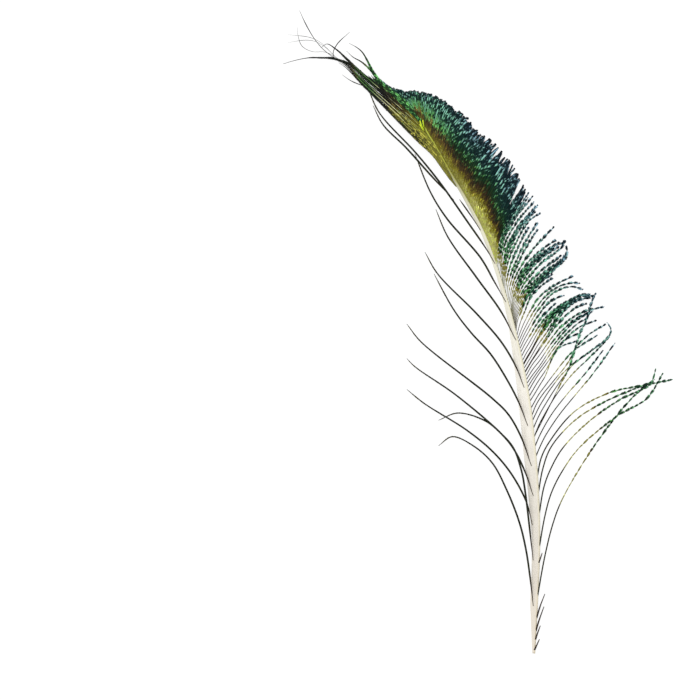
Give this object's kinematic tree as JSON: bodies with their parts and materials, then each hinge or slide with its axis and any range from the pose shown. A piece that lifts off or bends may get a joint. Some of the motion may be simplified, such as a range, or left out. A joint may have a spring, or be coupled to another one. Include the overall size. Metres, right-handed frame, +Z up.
{
  "type": "peacock feather",
  "caption": "Peacock sword feather lying flat: pale bent shaft, close shimmering vane on one side that loosens into a comb, long single barbs on the other",
  "frame": {"origin": "on the surface under the middle of the feather's box", "axes": "+Y from the cut end of the quill towards the tip, +X to the side of the close vane, +Z up, out of the feather's face"},
  "size_m": [0.2152, 0.3516, 0.0105],
  "materials": {
    "feather": "iridescent teal, green and copper barbs with a fine broken sparkle",
    "shaft": "pale ivory keratin, satin, olive green towards the tip"
  },
  "bodies": {
    "root": {"feather": "feather"}
  },
  "joints": []
}
